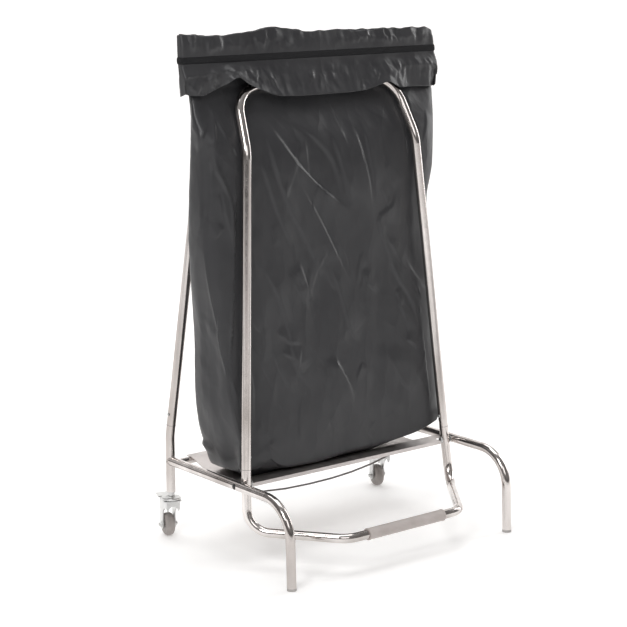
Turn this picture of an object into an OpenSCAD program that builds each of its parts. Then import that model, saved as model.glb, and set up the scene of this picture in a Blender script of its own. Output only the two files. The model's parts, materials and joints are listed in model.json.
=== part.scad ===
// Pedal-operated waste bag holder: a bent-tube base on two castors and two feet,
// a fixed rear arch, and a front arch that the foot pedal tilts open.
// Millimetres. +Z up, +X to the right, -Y the pedal side. Origin on the floor.

/* [Tube] */
// Outer diameter of every frame tube
tube_d = 18; // [16:0.5:19]
// Wall thickness of the frame tubes
tube_wall = 1.2; // [1:0.1:1.5]
// Bend radius of the front corner of the side tubes
leg_bend_r = 70; // [50:1:76]

/* [Base] */
// Half distance between the side tube centre lines
base_half_w = 270.5; // [268:0.5:276]
// Height of the side tube centre line
side_z = 157.7; // [156:0.1:159]
// Distance of the feet in front of the origin
foot_y = 215; // [205:1:222]
// Distance of the rear legs behind the origin
rear_leg_y = 166; // [162:1:170]
// Height of the lower end of the rear legs
rear_leg_end_z = 96; // [94:1:98]
// Height of the plastic foot cap that shows below the tube
foot_cap_h = 5; // [4:0.5:8]

/* [Pedal and front arch] */
// Pivot distance in front of the origin
pivot_y = 53; // [52:0.5:54]
// Half width of the pedal loop at the pivot
pivot_half_w = 250.5; // [250:0.1:251]
// Half width of the front arch at its upper bend
arch_half_w = 206.3; // [200:0.1:208]
// Height of the upper bend of the front arch
arch_bend_z = 772; // [765:1:780]
// Height of the top bar of the front arch
arch_top_z = 884; // [880:1:886]
// Height of the pedal bar
pedal_z = 70; // [64:1:76]
// Distance of the pedal bar in front of the origin
pedal_y = 217; // [200:1:220]
// Length of the pedal grip sleeve
grip_len = 188; // [150:1:200]

/* [Bag and rims] */
// Half width of the bag body
bag_half_w = 276; // [270:1:280]
// Half width of the folded collar
collar_half_w = 307; // [304:1:310]
// Half width of the collar over the rear rim
rear_collar_half_w = 285; // [280:1:290]
// Height of the top of the collar
collar_top_z = 980; // [974:1:984]
// Height of the rim rods
rim_z = 947; // [944:1:950]
// Thickness of the bag stand-in panels
film_t = 0.8; // [0.8:0.1:1]

/* [Castors] */
// Diameter of the castor wheels
wheel_d = 45; // [42:1:46]
// Width of the castor tyres
wheel_w = 19; // [16:1:20]
// Horizontal distance from the stem to the axle
castor_trail = 24; // [22:1:28]
// Direction of the castors, turned from straight back towards +X
castor_swing = 18; // [0:1:30]
// Distance from the stem to the tip of the brake tab
brake_reach = 61.2; // [58:0.1:64]

/* [Hidden] */

$fn = 48;
steel = [0.80, 0.76, 0.74];
zinc = [0.78, 0.78, 0.77];
film = [0.25, 0.25, 0.26];
strap_black = [0.14, 0.14, 0.15];
grip_grey = [0.69, 0.65, 0.63];
tyre_grey = [0.63, 0.60, 0.58];
cap_grey = [0.75, 0.74, 0.72];

r_out = tube_d / 2;
r_in = r_out - tube_wall;
// Hairline seam between the straights and the bends of a tube
seam = 0.02;
far = 400;

// Front arch and pedal loop centre line, right-hand side
pivot_z = side_z + 0.3;
arch_bend_y = -2.4;
arch_top_y = 50.6;
arch_top_half_w = 191.5;
arch_bend_r = 85;
arch_top_r = 61;
joint_z = 185;
arm_half_w = 256;
arm_y = 63;
bar_half_w = 140;

// Rear arch centre line, right-hand side
rear_bend_z = 208;
rear_joint_z = 230;
rear_lean = 0.1228;
rear_narrowing = 0.0548;
rear_top_z = 880;
function rear_y(z) = rear_leg_y - (z - rear_bend_z) * rear_lean;
function rear_half_w(z) = base_half_w - (z - rear_bend_z) * rear_narrowing;
// Half width and distance back of the front upright at height z, below its upper bend
function upright_t(z) = (z - pivot_z) / (arch_bend_z - pivot_z);
function upright_w(z) = pivot_half_w + upright_t(z) * (arch_half_w - pivot_half_w);
function upright_y(z) = -pivot_y + upright_t(z) * (arch_bend_y + pivot_y);

// Sockets between the lower tubes and the arches
spigot_len = 28;
spigot_gap = 0.1;
rivet_r = 1.6;
rivet_head_r = 3;
rivet_head_h = 1.4;
// Room under a rivet head for the slant of the tube
rivet_lift = 0.4;
rivet_rise = 22;

// Rims
rim_d = 10;
rim_inset = 11;
front_rim_y = 63;
rear_rim_y = 77;
bracket_d = 6;
bracket_x = 150;

// Pivot
pin_r = 4;
pin_clearance = 0.05;
pin_head_r = 6.5;
pin_head_h = 3;
pin_head_face = 240.4;
pin_recess = 2.5;
washer_r = 7;
washer_t = 1;
washer_face = base_half_w - r_out - 0.1;

// Cross bars and tray
bar_top_z = 158;
bar_front_y = -56;
bar_back_y = -18;
bar_lip = 7;
bar_half_len = 236.5;
sheet_t = 1.5;
tab_front_y = -36;
rear_bar_r = 7;
rear_bar_z = 150.5;
tray_half_w = 226;
tray_z = 144;
tray_back_y = 117;
tray_flange_y = 158;
tray_flange_end = 176;

// Castor stack, heights above the floor
axle_z = wheel_d / 2;
axle_r = 3;
fork_plate_z = 78;
fork_plate_r = 19;
fork_t = 2;
fork_half_gap = 11.5;
// Front skirt under the fork plate
skirt_y = 15;
skirt_h = 19;
skirt_arch_r = 9.5;
// Round end of a fork cheek and the arch cut out of its front edge
cheek_r = 9;
cheek_arch_r = 25;
cheek_arch_back = 33;
cheek_arch_up = 16;
head_top_z = 88;
stem_r = 5;
brake_pin_y = 17;
brake_pin_z = 66;
brake_pin_r = 1.5;
brake_half_w = 9;
tab_half_w = 14;
tab_len = 20;

// Route of the return spring wire, from the left side tube to the front cross bar
wire_d = 3.4;
wire_route = [[-263.6, -35, 151], [-242, -36, 140.5], [-200, -39, 131], [-150, -41, 127],
    [-90, -41, 125.5], [-35, -41, 126.5], [15, -41, 130], [70, -41, 137.5], [115, -41, 147.5],
    [130, -41, 152.5]];

function unit(v) = v / norm(v);
function dot(a, b) = a * b;
// A direction square to d
function square_to(d) = unit(cross(d, abs(d[2]) < 0.8 ? [0, 0, 1] : [1, 0, 0]));
// Half bend angle at corner i of path p
function half_bend(p, i) =
    acos(min(1, dot(unit(p[i] - p[i - 1]), unit(p[i + 1] - p[i])))) / 2;
// Length that the bend at corner i takes from the straights beside it
function setback(p, r, i) =
    i == 0 || i == len(p) - 1 ? 0 : r[i] * tan(half_bend(p, i));
// Where a straight ends: a hairline short of the bend beside it
function trim(p, r, i) = i == 0 || i == len(p) - 1 ? 0 : setback(p, r, i) + seam;

module along(a, b) {
    z = unit(b - a);
    x = square_to(z);
    y = cross(z, x);
    multmatrix([[x[0], y[0], z[0], a[0]], [x[1], y[1], z[1], a[1]],
        [x[2], y[2], z[2], a[2]], [0, 0, 0, 1]])
        children();
}

module rod(a, b, d) {
    along(a, b) cylinder(d = d, h = norm(b - a));
}

// A straight length of tube
module pipe(a, b, d, bore) {
    along(a, b) difference() {
        cylinder(d = d, h = norm(b - a));
        translate([0, 0, -1]) cylinder(d = bore, h = norm(b - a) + 2);
    }
}

// One circular bend of the tube at corner i
module bend(p, r, i) {
    u = unit(p[i] - p[i - 1]);
    v = unit(p[i + 1] - p[i]);
    n = unit(v - dot(u, v) * u);
    c = p[i] - u * setback(p, r, i) + n * r[i];
    w = cross(-n, u);
    multmatrix([[-n[0], u[0], w[0], c[0]], [-n[1], u[1], w[1], c[1]],
        [-n[2], u[2], w[2], c[2]], [0, 0, 0, 1]])
        rotate_extrude(angle = 2 * half_bend(p, i))
            translate([r[i], 0]) difference() {
                circle(r = r_out);
                circle(r = r_in);
            }
}

// A tube along path p with bend radius r[i] at corner i
module bent_tube(p, r) {
    for (i = [0:len(p) - 2]) {
        dir = unit(p[i + 1] - p[i]);
        pipe(p[i] + dir * trim(p, r, i), p[i + 1] - dir * trim(p, r, i + 1),
            tube_d, 2 * r_in);
    }
    for (i = [1:len(p) - 2]) bend(p, r, i);
}

// Reduced end of a lower tube that plugs into an arch, from a towards b
module spigot(a, b) {
    dir = unit(b - a);
    pipe(a - dir * 4, a + dir * spigot_len, 2 * (r_in - spigot_gap), 2 * (r_in - 1.3));
    pipe(a - dir * 4, a - dir * 2, 2 * r_in + 0.6, 2 * (r_in - 1.3));
}

// Mirror a right-hand path to a full arch or loop
function mirrored(p) = concat(
    [for (i = [0:len(p) - 1]) [-p[i][0], p[i][1], p[i][2]]],
    [for (i = [len(p) - 1:-1:0]) p[i]]);
function both_ways(r) = concat(r, [for (i = [len(r) - 1:-1:0]) r[i]]);

// Right-hand half paths
foot_run = 0.04;
side_path = [[base_half_w, rear_leg_y - 3, side_z],
    [base_half_w, -foot_y + side_z * foot_run, side_z],
    [base_half_w, -foot_y - foot_run * 10, -10]];
rear_leg_path = [[base_half_w, rear_leg_y, rear_leg_end_z],
    [base_half_w, rear_leg_y, rear_bend_z],
    [rear_half_w(rear_joint_z), rear_y(rear_joint_z), rear_joint_z]];
rear_arch_half = [[rear_half_w(rear_joint_z), rear_y(rear_joint_z), rear_joint_z],
    [rear_half_w(rear_top_z), rear_y(rear_top_z), rear_top_z]];
front_arch_half = [[upright_w(joint_z), upright_y(joint_z), joint_z],
    [arch_half_w, arch_bend_y, arch_bend_z],
    [arch_top_half_w, arch_top_y, arch_top_z]];
pedal_half = [[upright_w(joint_z), upright_y(joint_z), joint_z],
    [upright_w(pivot_z - 12), upright_y(pivot_z - 12), pivot_z - 12],
    [arm_half_w, -arm_y, pedal_z],
    [bar_half_w, -pedal_y, pedal_z]];

function flip(v, s) = [s * v[0], v[1], v[2]];
function side_of(p, s) = [for (v = p) flip(v, s)];

// Rivets through an upright, heads on the face that the axis points to
module rivets(at, axis) {
    for (s = [-1, 1]) {
        c = flip(at, s);
        a = flip(axis, s);
        rod(c, c + a * (r_out + 0.6), 2 * rivet_r);
        along(c + a * (r_out + rivet_lift), c + a * (r_out + 2))
            rotate_extrude() polygon([[0, 0], [rivet_head_r, 0], [rivet_head_r, 0.5],
                [rivet_head_r * 0.6, rivet_head_h], [0, rivet_head_h]]);
    }
}

module rivet_holes(at, axis) {
    for (s = [-1, 1]) {
        c = flip(at, s);
        a = flip(axis, s);
        rod(c + a * 2, c + a * (r_out + 2), 2 * rivet_r + 0.1);
    }
}

rear_rivet_z = rear_joint_z + rivet_rise;
rear_rivet_at = [rear_half_w(rear_rivet_z), rear_y(rear_rivet_z), rear_rivet_z];
front_rivet_at = [upright_w(joint_z + rivet_rise), upright_y(joint_z + rivet_rise),
    joint_z + rivet_rise];
out_axis = [1, 0, 0];
in_axis = [-1, 0, 0];

module side_tube(s) {
    color(steel) difference() {
        bent_tube(side_of(side_path, s), [0, leg_bend_r, 0]);
        translate([-far, -far, foot_cap_h - far]) cube([2 * far, 2 * far, far]);
        rod([0, -pivot_y, pivot_z], [s * (base_half_w + r_out + 1), -pivot_y, pivot_z],
            2 * pin_r);
        leg_cope(s);
    }
}

// Space of a rear leg, cut from the end of a tube that butts against it
module leg_cope(s) {
    translate([s * base_half_w, rear_leg_y, side_z - 40]) cylinder(r = r_out + seam, h = 80);
}

module foot_cap(s) {
    toe = side_of(side_path, s)[2];
    heel = side_of(side_path, s)[1];
    color(cap_grey) intersection() {
        union() {
            difference() {
                rod(toe, heel, tube_d);
                translate([-far, -far, foot_cap_h]) cube([2 * far, 2 * far, far]);
            }
            rod(toe, toe + unit(heel - toe) * 28, 2 * r_in);
        }
        translate([-far, -far, 0]) cube([2 * far, 2 * far, far]);
    }
}

module rear_leg(s) {
    p = side_of(rear_leg_path, s);
    color(steel) difference() {
        union() {
            bent_tube(p, [0, 60, 0]);
            spigot(p[2], p[2] + (p[2] - p[1]));
        }
        rivet_holes(rear_rivet_at, out_axis);
    }
}

module rear_arch() {
    color(steel) difference() {
        bent_tube(mirrored(rear_arch_half), [0, 40, 40, 0]);
        rivet_holes(rear_rivet_at, out_axis);
    }
}

module rear_arch_rivets() {
    color(zinc) rivets(rear_rivet_at, out_axis);
}

// Rim rod with rounded ends and the brackets that carry it above an arch's top bar
module rim(half_w, y, bar_y, bar_z) {
    rod([-half_w, y, rim_z], [half_w, y, rim_z], rim_d);
    for (s = [-1, 1]) {
        translate([s * half_w, y, rim_z]) sphere(d = rim_d);
        foot = [s * bracket_x, bar_y, bar_z];
        head = [s * bracket_x, y, rim_z];
        rod(foot + unit(head - foot) * (r_out - 0.3), head - unit(head - foot) * 2, bracket_d);
    }
}

module rear_rim() {
    color(steel) rim(rear_collar_half_w - rim_inset, rear_rim_y, rear_y(rear_top_z), rear_top_z);
}

module front_cross_bar() {
    color(steel) union() {
        translate([-bar_half_len, 0, 0]) rotate([90, 0, 90])
            linear_extrude(2 * bar_half_len)
                polygon([[bar_front_y, bar_top_z - bar_lip], [bar_front_y, bar_top_z],
                    [bar_back_y, bar_top_z], [bar_back_y, bar_top_z - bar_lip],
                    [bar_back_y - sheet_t, bar_top_z - bar_lip],
                    [bar_back_y - sheet_t, bar_top_z - sheet_t],
                    [bar_front_y + sheet_t, bar_top_z - sheet_t],
                    [bar_front_y + sheet_t, bar_top_z - bar_lip]]);
        for (m = [0, 1]) mirror([m, 0, 0])
            translate([bar_half_len - 1, tab_front_y, bar_top_z - sheet_t])
                cube([base_half_w - r_out + 0.6 - bar_half_len + 1,
                    bar_back_y - tab_front_y, sheet_t]);
    }
}

module rear_cross_bar() {
    half = base_half_w - 3;
    color(steel) difference() {
        rod([-half, rear_leg_y, rear_bar_z], [half, rear_leg_y, rear_bar_z], 2 * rear_bar_r);
        rod([-half - 1, rear_leg_y, rear_bar_z], [half + 1, rear_leg_y, rear_bar_z],
            2 * (rear_bar_r - tube_wall));
        for (s = [-1, 1]) leg_cope(s);
    }
}

module bottom_tray() {
    flange_z = rear_bar_z + rear_bar_r + 0.1;
    color(steel) translate([-tray_half_w, 0, 0]) rotate([90, 0, 90])
        linear_extrude(2 * tray_half_w)
            polygon([[bar_back_y, tray_z], [tray_back_y, tray_z], [tray_flange_y, flange_z],
                [tray_flange_end, flange_z], [tray_flange_end, flange_z + sheet_t],
                [tray_flange_y - 1, flange_z + sheet_t], [tray_back_y - 1, tray_z + sheet_t],
                [bar_back_y + sheet_t, tray_z + sheet_t],
                [bar_back_y + sheet_t, bar_top_z - sheet_t], [bar_back_y, bar_top_z - sheet_t]]);
}

module pivot_pin(s) {
    tip = base_half_w + r_out - pin_recess;
    color(zinc) translate([0, -pivot_y, pivot_z]) rotate([0, s * 90, 0]) union() {
        translate([0, 0, pin_head_face]) cylinder(r = pin_r, h = tip - pin_head_face);
        translate([0, 0, pin_head_face - pin_head_h]) rotate_extrude()
            polygon([[0, 0], [pin_head_r * 0.6, 0], [pin_head_r, pin_head_h * 0.6],
                [pin_head_r, pin_head_h], [0, pin_head_h]]);
    }
}

module pivot_washers() {
    color(zinc) for (s = [-1, 1])
        translate([0, -pivot_y, pivot_z]) rotate([0, s * 90, 0])
            translate([0, 0, washer_face - washer_t]) difference() {
                cylinder(r = washer_r, h = washer_t);
                translate([0, 0, -1]) cylinder(r = pin_r + 0.2, h = washer_t + 2);
            }
}

// Ring of n points of radius r square to d at c
function ring(c, d, r, n) = let (x = square_to(d), y = cross(d, x))
    [for (k = [0:n - 1]) c + r * (cos(k * 360 / n) * x + sin(k * 360 / n) * y)];
function wire_dir(i) = unit(wire_route[min(i + 1, len(wire_route) - 1)]
    - wire_route[max(i - 1, 0)]);

module return_spring_wire() {
    n = 10;
    last = len(wire_route) - 1;
    pts = [for (i = [0:last]) each ring(wire_route[i], wire_dir(i), wire_d / 2, n)];
    sides = [for (i = [0:last - 1]) for (k = [0:n - 1])
        [i * n + k, (i + 1) * n + k, (i + 1) * n + (k + 1) % n, i * n + (k + 1) % n]];
    ends = [[for (k = [0:n - 1]) k], [for (k = [n - 1:-1:0]) last * n + k]];
    color([0.35, 0.33, 0.32]) polyhedron(points = pts, faces = concat(sides, ends));
}

module spring_wire_clips() {
    tail = wire_route[len(wire_route) - 1];
    color(zinc) translate([tail[0] + wire_d / 4, tail[1] - 4, bar_top_z - bar_lip])
        cube([10, 8, bar_lip - sheet_t]);
}

// A film panel: outline in Y and Z, extruded across the width
module panel(half_w, outline) {
    translate([-half_w, 0, 0]) rotate([90, 0, 90]) linear_extrude(2 * half_w)
        polygon(concat(outline,
            [for (i = [len(outline) - 1:-1:0]) outline[i] + [film_t, 0]]));
}

// Y and Z of the bag's faces, from the bottom up
bag_low_z = 168;
strap_z = 930;
strap_h = 12.5;
strap_t = 1.6;
strap_half_w = collar_half_w + 1.2;
rear_strap_half_w = rear_collar_half_w + 1.2;
bag_back_half_w = 200;
bag_front = [[-35.8, bag_low_z], [10.5, arch_bend_z + 3], [54.9, 868], [60.8, 885],
    [62, 894], [68.2, 935], [68.2, collar_top_z - 2]];
bag_back = [[118.8, bag_low_z], [145.5, 230], [rear_y(250) - 10.6, 250],
    [rear_y(870) - 10.6, 870], [71, 935], [71, collar_top_z - 2]];
front_collar = [[26, 858], [36, 880], [40, 893], [46, 906], [53.6, strap_z],
    [53.6, strap_z + strap_h], [56.6, 954], [56.6, collar_top_z]];
// Front Y, back Y and height of the gussets' levels
gusset = [[-29, 113, 172], [-24, rear_y(250) - 13, 250], [15, rear_y(775) - 13, 775],
    [56.5, rear_y(862) - 13, 862]];
back_collar = [[96.6, 858], [94.6, 888], [84, 915], [82.6, strap_z], [82.6, collar_top_z]];

module bag_front_panel() {
    color(film) panel(bag_half_w, bag_front);
}

module bag_back_panel() {
    color(film) panel(bag_back_half_w, bag_back);
}

module bag_front_collar() {
    color(film) panel(collar_half_w, front_collar);
}

module bag_rear_collar() {
    color(film) panel(rear_collar_half_w, back_collar);
}

// Side of the bag: a slanted wall from the front panel's edge to the back panel's
module bag_gusset(s) {
    color(film) for (i = [0:len(gusset) - 2]) hull()
        for (level = [gusset[i], gusset[i + 1]]) {
            translate([s * bag_half_w, level[0], level[2]]) cube(film_t, center = true);
            translate([s * (bag_back_half_w + 1), level[1], level[2]])
                cube(film_t, center = true);
        }
}

module bag_bottom() {
    color(film) translate([-250, -33, bar_top_z + 0.4]) cube([500, 148, film_t]);
}

module strap_front() {
    color(strap_black) translate([-strap_half_w, 51.8, strap_z])
        cube([2 * strap_half_w, strap_t, strap_h]);
}

module strap_rear() {
    color(strap_black) translate([-rear_strap_half_w, 83.6, strap_z])
        cube([2 * rear_strap_half_w, strap_t, strap_h]);
}

module pedal_loop() {
    p = mirrored(pedal_half);
    color(steel) difference() {
        union() {
            bent_tube(p, both_ways([0, 60, 45, 46]));
            for (s = [-1, 1]) {
                q = side_of(pedal_half, s);
                spigot(q[0], side_of(front_arch_half, s)[1]);
            }
        }
        rivet_holes(front_rivet_at, in_axis);
        rod([-far, -pivot_y, pivot_z], [far, -pivot_y, pivot_z], 2 * (pin_r + pin_clearance));
    }
}

module front_arch() {
    color(steel) difference() {
        bent_tube(mirrored(front_arch_half), both_ways([0, arch_bend_r, arch_top_r]));
        rivet_holes(front_rivet_at, in_axis);
    }
}

module front_arch_rivets() {
    color(zinc) rivets(front_rivet_at, in_axis);
}

module front_rim() {
    color(steel) rim(collar_half_w - rim_inset, front_rim_y, arch_top_y, arch_top_z);
}

module pedal_grip() {
    half = grip_len / 2;
    color(grip_grey) translate([0, -pedal_y, pedal_z]) rotate([0, 90, 0]) rotate_extrude()
        polygon([[r_out, -half], [r_out + 2.5, -half], [r_out + 2.5, -half + 3],
            [r_out + 2, -half + 4], [r_out + 2, half - 4], [r_out + 2.5, half - 3],
            [r_out + 2.5, half], [r_out, half]]);
}

// Castor parts stand in a frame with the stem on Z and the wheel towards +Y
module at_castor(s) {
    translate([s * base_half_w, rear_leg_y, 0]) rotate([0, 0, -castor_swing]) children();
}

module castor_stem(s) {
    color(zinc) at_castor(s) union() {
        translate([0, 0, fork_plate_z - 2])
            cylinder(r = stem_r, h = rear_leg_end_z + 2 - fork_plate_z);
        translate([0, 0, fork_plate_z - 4.4]) cylinder(r = 8, h = 4);
        translate([0, 0, head_top_z + 0.5])
            cylinder(r = 7, h = rear_leg_end_z - head_top_z - 2.5);
        translate([0, 0, rear_leg_end_z - 2]) cylinder(r = r_out - 0.2, h = 2);
        translate([0, 0, rear_leg_end_z]) cylinder(r = r_in, h = 22);
    }
}

module swivel_head(s) {
    color(zinc) at_castor(s) rotate_extrude()
        polygon([[stem_r + pin_clearance, fork_plate_z + fork_t],
            [17.5, fork_plate_z + fork_t], [19, fork_plate_z + fork_t + 1],
            [19, head_top_z - 4.4], [17.6, head_top_z - 3], [12, head_top_z - 1.6],
            [9, head_top_z], [stem_r + pin_clearance, head_top_z]]);
}

// Side outline of a fork cheek in Y and Z
module cheek_outline() {
    difference() {
        union() {
            polygon([[-skirt_y, fork_plate_z], [-skirt_y, fork_plate_z - skirt_h],
                [castor_trail - cheek_r, axle_z], [castor_trail + cheek_r, axle_z],
                [castor_trail + cheek_r, fork_plate_z - 12], [castor_trail + 2, fork_plate_z]]);
            translate([castor_trail, axle_z]) circle(r = cheek_r);
        }
        translate([castor_trail - cheek_arch_back, axle_z + cheek_arch_up])
            circle(r = cheek_arch_r);
    }
}

// Arched skirt that closes the fork on the side away from the wheel
module skirt() {
    difference() {
        translate([-fork_half_gap - 1, -skirt_y, fork_plate_z - skirt_h])
            cube([2 * fork_half_gap + 2, fork_t, skirt_h + 1]);
        translate([0, -skirt_y - 1, fork_plate_z - skirt_h]) rotate([-90, 0, 0])
            cylinder(r = skirt_arch_r, h = fork_t + 2);
    }
}

module fork(s) {
    color(zinc) at_castor(s) difference() {
        union() {
            intersection() {
                translate([0, 0, fork_plate_z]) cylinder(r = fork_plate_r + 3, h = fork_t);
                translate([-fork_half_gap - 6, -fork_plate_r, fork_plate_z])
                    cube([2 * fork_half_gap + 12, 2 * fork_plate_r, fork_t]);
            }
            skirt();
            for (x = [-fork_half_gap - fork_t, fork_half_gap])
                translate([x, 0, 0]) rotate([90, 0, 90]) linear_extrude(fork_t)
                    cheek_outline();
        }
        translate([0, 0, fork_plate_z - 1]) cylinder(r = stem_r + pin_clearance, h = fork_t + 2);
        translate([-far, castor_trail, axle_z]) rotate([0, 90, 0])
            cylinder(r = axle_r, h = 2 * far);
        translate([-far, brake_pin_y, brake_pin_z]) rotate([0, 90, 0])
            cylinder(r = brake_pin_r, h = 2 * far);
    }
}

module axle(s) {
    reach = fork_half_gap + fork_t;
    color(zinc) at_castor(s) translate([0, castor_trail, axle_z]) rotate([0, 90, 0]) union() {
        translate([0, 0, -reach]) cylinder(r = axle_r, h = 2 * reach);
        for (m = [0, 1]) mirror([0, 0, m]) translate([0, 0, reach]) rotate_extrude()
            polygon([[0, 0], [6, 0], [6, 1.5], [4.8, 1.5], [4.2, 4.2], [2.4, 5.6], [0, 6]]);
    }
}

module tyre(s) {
    half = wheel_w / 2;
    r = wheel_d / 2;
    color(tyre_grey) at_castor(s) translate([0, castor_trail, axle_z]) rotate([0, 90, 0])
        rotate_extrude()
            polygon([[13, -half + 1], [r - 5, -half], [r - 2, -half + 2], [r, -half + 5.5],
                [r, half - 5.5], [r - 2, half - 2], [r - 5, half], [13, half - 1]]);
}

module wheel_hub(s) {
    half = wheel_w / 2;
    boss = fork_half_gap - 0.4;
    color(tyre_grey) at_castor(s) translate([0, castor_trail, axle_z]) rotate([0, 90, 0])
        rotate_extrude()
            polygon([[axle_r + pin_clearance, -boss], [5.5, -boss], [5.5, -half + 3],
                [13, -half + 1], [13, half - 1], [5.5, half - 3], [5.5, boss],
                [axle_r + pin_clearance, boss]]);
}

// A side outline in Y and Z made half_w wide to either side
module lever_web(half_w) {
    translate([-half_w, 0, 0]) rotate([90, 0, 90]) linear_extrude(2 * half_w) children();
}

module brake_lever(s) {
    tip = brake_reach;
    color(zinc) at_castor(s) difference() {
        union() {
            lever_web(brake_half_w) union() {
                polygon([[brake_pin_y, brake_pin_z - 3], [30, 66], [36, 71], [tip - 2, 74.5],
                    [tip - 2, 76], [35, 73.4], [29, 69], [brake_pin_y, brake_pin_z + 3]]);
                polygon([[tip - 16, 73.5], [tip - 14, 62], [tip - 11, 62], [tip - 10, 74]]);
                translate([brake_pin_y, brake_pin_z]) circle(r = 4);
            }
            lever_web(tab_half_w)
                polygon([[tip - tab_len, 73], [tip, 75], [tip, 77.2], [tip - tab_len, 75.2]]);
        }
        translate([-far, brake_pin_y, brake_pin_z]) rotate([0, 90, 0])
            cylinder(r = brake_pin_r + pin_clearance, h = 2 * far);
    }
}

module brake_pin(s) {
    reach = fork_half_gap + fork_t;
    color(zinc) at_castor(s) translate([-reach, brake_pin_y, brake_pin_z]) rotate([0, 90, 0])
        cylinder(r = brake_pin_r, h = 2 * reach);
}

side_tube(-1);  // left_side_tube
side_tube(1);  // right_side_tube
foot_cap(-1);  // left_foot_cap
foot_cap(1);  // right_foot_cap
rear_leg(-1);  // left_rear_leg
rear_leg(1);  // right_rear_leg
rear_arch();
rear_arch_rivets();
rear_rim();
front_cross_bar();
rear_cross_bar();
bottom_tray();
pivot_pin(-1);  // left_pivot_pin
pivot_pin(1);  // right_pivot_pin
pivot_washers();
return_spring_wire();
spring_wire_clips();
bag_back_panel();
bag_gusset(-1);  // bag_left_gusset
bag_gusset(1);  // bag_right_gusset
bag_bottom();
bag_rear_collar();
strap_rear();
pedal_loop();
front_arch();
front_arch_rivets();
front_rim();
pedal_grip();
bag_front_panel();
bag_front_collar();
strap_front();
castor_stem(-1);  // left_castor_stem
swivel_head(-1);  // left_swivel_head
fork(-1);  // left_fork
axle(-1);  // left_axle
tyre(-1);  // left_tyre
wheel_hub(-1);  // left_wheel_hub
brake_lever(-1);  // left_brake_lever
brake_pin(-1);  // left_brake_pin
castor_stem(1);  // right_castor_stem
swivel_head(1);  // right_swivel_head
fork(1);  // right_fork
axle(1);  // right_axle
tyre(1);  // right_tyre
wheel_hub(1);  // right_wheel_hub
brake_lever(1);  // right_brake_lever
brake_pin(1);  // right_brake_pin
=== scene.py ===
"""Looks of a pedal-operated waste bag holder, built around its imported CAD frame.

Row frame: metres, +Z up, +X to the right seen from the pedal side, -Y towards the pedal.
The bag, the strap, the welds and the plugs are drawn in millimetres and scaled as their mesh
is made. Lengths are in metres everywhere else.
"""

import json
import math

import bpy
import numpy as np
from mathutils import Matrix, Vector


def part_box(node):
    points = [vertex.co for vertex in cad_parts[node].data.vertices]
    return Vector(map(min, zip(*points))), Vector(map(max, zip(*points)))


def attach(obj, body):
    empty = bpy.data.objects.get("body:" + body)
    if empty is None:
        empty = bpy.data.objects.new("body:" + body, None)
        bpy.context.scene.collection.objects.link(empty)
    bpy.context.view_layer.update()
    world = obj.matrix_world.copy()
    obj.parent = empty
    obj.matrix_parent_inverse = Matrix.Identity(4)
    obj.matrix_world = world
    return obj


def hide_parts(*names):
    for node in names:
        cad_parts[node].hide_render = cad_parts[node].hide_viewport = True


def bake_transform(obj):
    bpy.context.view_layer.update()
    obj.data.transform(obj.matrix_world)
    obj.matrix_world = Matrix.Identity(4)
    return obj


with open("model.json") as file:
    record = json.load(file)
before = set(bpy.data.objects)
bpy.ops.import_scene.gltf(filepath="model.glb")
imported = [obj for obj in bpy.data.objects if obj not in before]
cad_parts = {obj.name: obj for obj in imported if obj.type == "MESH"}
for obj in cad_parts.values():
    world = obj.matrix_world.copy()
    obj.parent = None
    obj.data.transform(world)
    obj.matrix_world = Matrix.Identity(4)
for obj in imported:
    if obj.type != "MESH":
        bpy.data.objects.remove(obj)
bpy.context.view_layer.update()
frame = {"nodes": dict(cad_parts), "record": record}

MM = 0.001
nodes = frame["nodes"]
scene = bpy.context.scene

VIEW_TURN = math.radians(38.8)


# ---------------------------------------------------------------- materials

def new_material(name):
    """A new node material, with its node tree and the shader that its surface comes from."""
    material = bpy.data.materials.new(name)
    material.use_nodes = True
    tree = material.node_tree
    tree.nodes.clear()
    output = tree.nodes.new("ShaderNodeOutputMaterial")
    shader = tree.nodes.new("ShaderNodeBsdfPrincipled")
    tree.links.new(shader.outputs["BSDF"], output.inputs["Surface"])
    return material, tree, shader


def noise(tree, scale, detail=3.0, stretch=(1, 1, 1)):
    """A noise texture in object space, stretched along the axes."""
    coord = tree.nodes.new("ShaderNodeTexCoord")
    mapping = tree.nodes.new("ShaderNodeMapping")
    mapping.inputs["Scale"].default_value = stretch
    texture = tree.nodes.new("ShaderNodeTexNoise")
    texture.inputs["Scale"].default_value = scale
    texture.inputs["Detail"].default_value = detail
    tree.links.new(coord.outputs["Object"], mapping.inputs["Vector"])
    tree.links.new(mapping.outputs["Vector"], texture.inputs["Vector"])
    return texture.outputs["Fac"]


def ramp(tree, value, low, high, start=0.3, end=0.7):
    """Colours from low to high as value goes from start to end."""
    node = tree.nodes.new("ShaderNodeValToRGB")
    node.color_ramp.elements[0].position = start
    node.color_ramp.elements[0].color = (*low, 1)
    node.color_ramp.elements[1].position = end
    node.color_ramp.elements[1].color = (*high, 1)
    tree.links.new(value, node.inputs["Fac"])
    return node.outputs["Color"]


def spread(tree, value, low, high):
    """A number from low to high as value goes from 0.3 to 0.7."""
    node = tree.nodes.new("ShaderNodeMapRange")
    node.inputs["From Min"].default_value = 0.3
    node.inputs["From Max"].default_value = 0.7
    node.inputs["To Min"].default_value = low
    node.inputs["To Max"].default_value = high
    tree.links.new(value, node.inputs["Value"])
    return node.outputs["Result"]


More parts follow.
